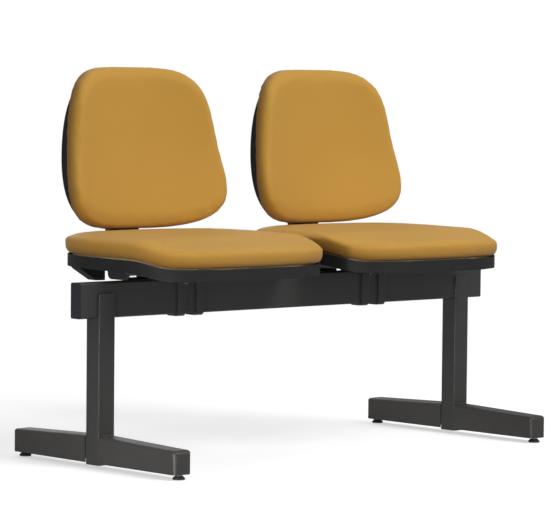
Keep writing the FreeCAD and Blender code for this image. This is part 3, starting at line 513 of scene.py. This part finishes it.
seatSettings = {
    "width": 0.464, "front": -0.201, "rear": 0.204, "squareness": 3.8,
    "seam": 0.408, "slope": 0.017,     # height over the origin, and rise towards the rear
    "fallStart": -0.072, "fallEnd": -0.165, "fall": 0.0128,    # the waterfall front
    "overhang": 0.003, "gap": 0.0004,
    "full": 0.0405, "edge": 0.0382,    # height of the crown's middle and border over the seam
    "widest": 0.028, "shoulder": 0.027,
    "tuck": 0.0095, "lip": 0, "lipFrom": 0.95,
    "held": 0.014, "paintedShadeBand": 0.036,  # over the seam: where no swell comes, and how far the painted shade reaches
    "frontAxis": 2,
}


def seamHeight(y, s=seatSettings):
    gone = min(1, max(0, (s["fallStart"] - y) / (s["fallStart"] - s["fallEnd"])))
    return s["seam"] + s["slope"] * y - s["fall"] * gone * gone * (3 - 2 * gone)


def makeSeatCushion(side, material, s=seatSettings):
    middleX = sides[side] * seatPitch / 2
    middleY = (s["rear"] + s["front"]) / 2
    halfX, halfY = s["width"] / 2, (s["rear"] - s["front"]) / 2

    def place(direction, inset, share, height):
        reach = s["overhang"] - inset
        x, y, _ = onRoundedSquare(direction, halfX + reach, halfY + reach, s["squareness"])
        y = middleY + y * share
        return Vector((middleX + x * share, y, seamHeight(y) + s["gap"] + height))

    def aboveSeam(co):
        return co.z - seamHeight(co.y)

    finishCushion("seatCushion_" + side, "seat_cushion_" + side, place, aboveSeam, material, s)


# backs

backSettings = {
    "width": 0.378, "height": 0.326, "squareness": 3.95,
    "taper": 0.126,                    # the top is narrower than the middle by this share
    "y": 0.223, "z": 0.6155, "tilt": 5.7,
    "bend": 0.344, "dish": 0.983,      # radii of the shell, level and upright
    "overhang": 0.004, "gap": 0.0004,
    "full": 0.039, "edge": 0.036, "widest": 0.02, "shoulder": 0.026, "tuck": 0.0022,
    "lip": 0.0055, "lipFrom": 0.9,     # how far the border wraps back over the shell's rim
    "lipAtEnds": 1.5, "endsFrom": 0.8,     # times the lip towards the top and bottom
    # over the seam: where no swell comes, and how far the painted shade reaches
    "held": 0.004, "paintedShadeBand": 0.022,
    "frontAxis": 1,
}


def backLine(x, z, s=backSettings):
    return -x * x / (2 * s["bend"]) - z * z / (2 * s["dish"])


def backFrame(side, s=backSettings):
    middle = Matrix.Translation((sides[side] * seatPitch / 2, s["y"], s["z"]))
    return middle @ Matrix.Rotation(-math.radians(s["tilt"]), 4, "X")


def makeBackCushion(side, material, s=backSettings):
    intoPlace = backFrame(side)
    intoFrame = intoPlace.inverted()
    halfX, halfZ = s["width"] / 2, s["height"] / 2

    def place(direction, inset, share, height):
        reach = s["overhang"] - inset
        x, z, level = onRoundedSquare(direction, halfX + reach, halfZ + reach, s["squareness"])
        x *= (1 - s["taper"] * level) * share
        z *= share
        if height < 0:
            height *= 1 + (s["lipAtEnds"] - 1) * min(1, abs(level) / s["endsFrom"]) ** 2
        return intoPlace @ Vector((x, backLine(x, z) - s["gap"] - height, z))

    def aboveSeam(co):
        local = intoFrame @ co
        return backLine(local.x, local.z) - local.y

    finishCushion("backCushion_" + side, "back_cushion_" + side, place, aboveSeam, material, s)


# levelling glides: a threaded stud with a hexagon collar stands for each plain one

studSettings = {
    "radius": 0.004, "tipChamfer": 0.001, "segments": 32,
    "rootDepth": 0.0005, "pitch": 0.00125, "crest": (0.4, 0.6), "stepsPerTurn": 20,
    "flats": 0.013, "collarFoot": 0.007, "collarHeight": 0.005, "edge": 0.0007,
    # heights over the collar: where the neck ends, where the core starts, and the thread
    "neck": 0.0008, "core": 0.0012, "thread": 0.001,
}


def newLine(bm, points):
    # (radius, height) points joined by edges, ready for a spin about Z
    verts = [bm.verts.new((r, 0, z)) for r, z in points]
    return verts + [bm.edges.new(pair) for pair in zip(verts, verts[1:])]


def addTo(bm, extra):
    mesh = bpy.data.meshes.new("extra")
    extra.to_mesh(mesh)
    extra.free()
    bm.from_mesh(mesh)
    bpy.data.meshes.remove(mesh)


def newThread(s, foot, top):
    # one turn's section, swept round and up by spin; its ends run out into the core
    bm = bmesh.new()
    root, (rise, fall) = s["radius"] - s["rootDepth"], s["crest"]
    section = [(root, foot), (s["radius"], foot + s["pitch"] * rise),
               (s["radius"], foot + s["pitch"] * fall), (root, foot + s["pitch"])]
    turns = int((top - foot) / s["pitch"]) - 1
    bmesh.ops.spin(bm, geom=newLine(bm, section), cent=(0, 0, 0), axis=(0, 0, 1),
                   dvec=(0, 0, s["pitch"] / s["stepsPerTurn"]), angle=turns * 2 * math.pi,
                   steps=turns * s["stepsPerTurn"], use_merge=False)
    bmesh.ops.remove_doubles(bm, verts=bm.verts, dist=1e-5)
    return bm


def newCollar(s):
    bm = bmesh.new()
    acrossCorners = s["flats"] / math.sqrt(3)
    bmesh.ops.create_cone(bm, cap_ends=True, segments=6, radius1=acrossCorners,
                          radius2=acrossCorners, depth=s["collarHeight"])
    bmesh.ops.bevel(bm, geom=list(bm.edges), offset=s["edge"], segments=2, affect="EDGES",
                    profile=0.5, material=-1)
    bmesh.ops.translate(bm, verts=bm.verts, vec=(0, 0, s["collarFoot"] + s["collarHeight"] / 2))
    return bm


def makeStud(corner, material, s=studSettings):
    low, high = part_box("glide_stud_" + corner)
    collarTop = s["collarFoot"] + s["collarHeight"]
    core, tip = s["radius"] - s["rootDepth"], high.z - s["tipChamfer"]
    bm = bmesh.new()
    outline = newLine(bm, [(0, low.z), (s["radius"], low.z), (s["radius"], collarTop + s["neck"]),
                           (core, collarTop + s["core"]), (core, tip),
                           (core - s["tipChamfer"], high.z), (0, high.z)])
    bmesh.ops.spin(bm, geom=outline, cent=(0, 0, 0), axis=(0, 0, 1), angle=2 * math.pi,
                   steps=s["segments"], use_merge=True)
    bmesh.ops.remove_doubles(bm, verts=bm.verts, dist=1e-6)
    addTo(bm, newThread(s, collarTop + s["thread"], tip))
    addTo(bm, newCollar(s))
    bmesh.ops.recalc_face_normals(bm, faces=bm.faces)
    middle = (low + high) / 2
    bmesh.ops.translate(bm, verts=bm.verts, vec=(middle.x, middle.y, 0))
    piece = newPiece("stud_" + corner, bm, material)
    piece.data.shade_flat()
    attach(piece, "glide_" + corner)
    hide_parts("glide_stud_" + corner)


# feet: the pressed channel's bridge plate is trimmed round with the channel's nose

footSettings = {"nose": 0.009, "proud": 0.0001, "clear": 0.0003}


def makeFoot(corner, material, s=footSettings):
    low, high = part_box("foot_" + corner)
    middleX, halfX = (low.x + high.x) / 2, (high.x - low.x) / 2
    outward = -1 if corner.startswith("front") else 1
    tip = low.y if outward < 0 else high.y
    bm = bmesh.new()
    bm.from_mesh(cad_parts["foot_" + corner].data)
    bmesh.ops.remove_doubles(bm, verts=bm.verts, dist=1e-6)
    trimmed = 0
    for vertex in bm.verts:
        sideways = 1 if vertex.co.x > middleX else -1
        centre = Vector((middleX + sideways * (halfX - s["nose"]), tip - outward * s["nose"]))
        away = Vector((vertex.co.x, vertex.co.y)) - centre
        inCorner = away.x * sideways > 0 and away.y * outward > 0
        if inCorner and away.length > s["nose"] + s["proud"]:
            away *= (s["nose"] - s["clear"]) / away.length
            vertex.co.x, vertex.co.y = centre.x + away.x, centre.y + away.y
            trimmed += 1
    print("foot", corner, "points trimmed to the nose:", trimmed)
    piece = newPiece("channel_" + corner, bm, material)
    piece.data.shade_flat()
    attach(piece, "frame")
    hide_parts("foot_" + corner)


# welds: a rippled bead where each foot meets its column

beadSettings = {
    "radius": 0.0022, "segments": 14,
    "step": 0.0012,                    # from ring to ring
    "inset": 0.004,                    # from the column's sides
    "ripple": 0.18, "every": 3,        # share of the radius, and rings from crest to crest
    "unevenness": 0.4, "unevenPace": 1.7,
}


def rippleAt(ring, s=beadSettings):
    crest = 0.5 if ring % s["every"] == 0 else -0.5
    uneven = 1 - s["unevenness"] + s["unevenness"] * math.sin(ring * s["unevenPace"])
    return 1 + s["ripple"] * crest * uneven


def makeBead(corner, material, s=beadSettings):
    end, side = corner.split("_")
    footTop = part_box("foot_" + corner)[1].z
    columnLow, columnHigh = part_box("leg_column_" + side)
    y = columnLow.y if end == "front" else columnHigh.y
    length = (columnHigh.x - columnLow.x) - 2 * s["inset"]
    count = int(length / s["step"])
    bm = bmesh.new()
    ring = bmesh.ops.create_circle(bm, segments=s["segments"], radius=s["radius"],
                                   cap_ends=True)["verts"]
    bmesh.ops.rotate(bm, verts=ring, cent=(0, 0, 0), matrix=Matrix.Rotation(math.pi / 2, 3, "Y"))
    edges = list(bm.edges)
    for i in range(count):
        grown = bmesh.ops.extrude_edge_only(bm, edges=edges)["geom"]
        verts = [g for g in grown if isinstance(g, bmesh.types.BMVert)]
        edges = [g for g in grown if isinstance(g, bmesh.types.BMEdge)
                 and all(v in verts for v in g.verts)]
        bmesh.ops.translate(bm, verts=verts, vec=(length / count, 0, 0))
        middle = sum((v.co for v in verts), Vector()) / len(verts)
        for v in verts:
            v.co = middle + (v.co - middle).normalized() * s["radius"] * rippleAt(i)
    bmesh.ops.contextual_create(bm, geom=edges)
    bmesh.ops.recalc_face_normals(bm, faces=bm.faces)
    start = (columnLow.x + columnHigh.x - length) / 2
    bmesh.ops.translate(bm, verts=bm.verts, vec=(start, y, footTop))
    piece = newPiece("weldBead_" + corner, bm, material)
    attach(piece, "frame")


# finishes for the pieces that come from the frame

nodeFinishes = {
    "powderCoat": ("beam_tube", "leg_column", "seat_mount", "clamp_strap", "back_spine"),
    # the feet take the powder coat painted lighter
    "paintedLightFootCoat": ("foot",),
    "shellPlastic": ("seat_shell", "back_shell"),
    "coverPlastic": ("spine_cover", "spine_cap", "beam_end_cap"),
    "glidePlastic": ("glide_pad",),
    "zincPlate": ("seat_tee_nuts", "back_tee_nuts", "glide_stud", "glide_nut"),
    "blackSteel": ("clamp_bolts", "clamp_nuts", "seat_screws", "back_screws"),
    "plywood": ("seat_board", "back_board"),
}


def paintFrame(materials):
    for finish, starts in nodeFinishes.items():
        for name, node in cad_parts.items():
            if name.startswith(starts):
                node.data.materials.clear()
                node.data.materials.append(materials[finish])


makeCamera(cameraSettings)
makeStudio(studioSettings)
print("camera, lights and floor are in place")

materials = {key: makeFinish(settings) for key, settings in finishes.items()}
paintFrame(materials)
cloth = makeCloth(clothSettings)
print("finishes are on the frame")

for end in ("front", "rear"):
    for side in sides:
        makeStud(end + "_" + side, materials["zincPlate"])
        makeFoot(end + "_" + side, materials["paintedLightFootCoat"])
        makeBead(end + "_" + side, materials["paintedLightFootCoat"])
print("studs, feet and welds are made")

for side in sides:
    makeSeatCushion(side, cloth)
    makeBackCushion(side, cloth)
    print("cushions of the", side, "seat are made")
